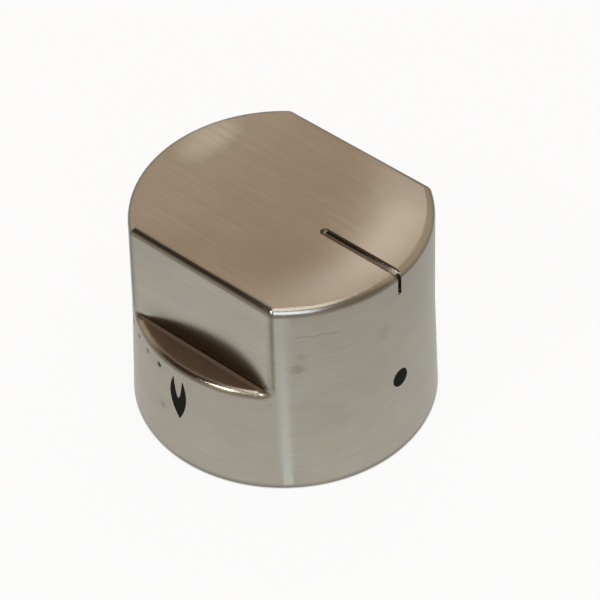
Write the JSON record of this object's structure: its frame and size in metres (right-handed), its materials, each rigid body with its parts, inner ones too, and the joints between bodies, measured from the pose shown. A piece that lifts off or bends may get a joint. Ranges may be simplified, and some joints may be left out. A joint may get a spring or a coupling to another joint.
{
  "type": "oven control knob",
  "caption": "Round brushed-metal cooker knob with opposed grip flats, finger ledges, a pointer groove and a hollow back with a sprung socket for a D-shaped spindle.",
  "frame": {"origin": "middle of the back rim's plane, on the spindle axis", "axes": "+Z out of the panel along the spindle axis, +Y along the pointer groove, +X and -X out of the two grip flats"},
  "size_m": [0.045, 0.045, 0.0338],
  "materials": {
    "satin_nickel": "brushed and satin nickel plated zinc casting",
    "black_plastic": "moulded heat-resistant plastic, fine satin",
    "spring_steel": "bright rolled spring strip"
  },
  "bodies": {
    "root": {"knob_shell": "satin_nickel", "hub_insert": "black_plastic", "boss_spring_clip": "spring_steel"}
  },
  "joints": []
}
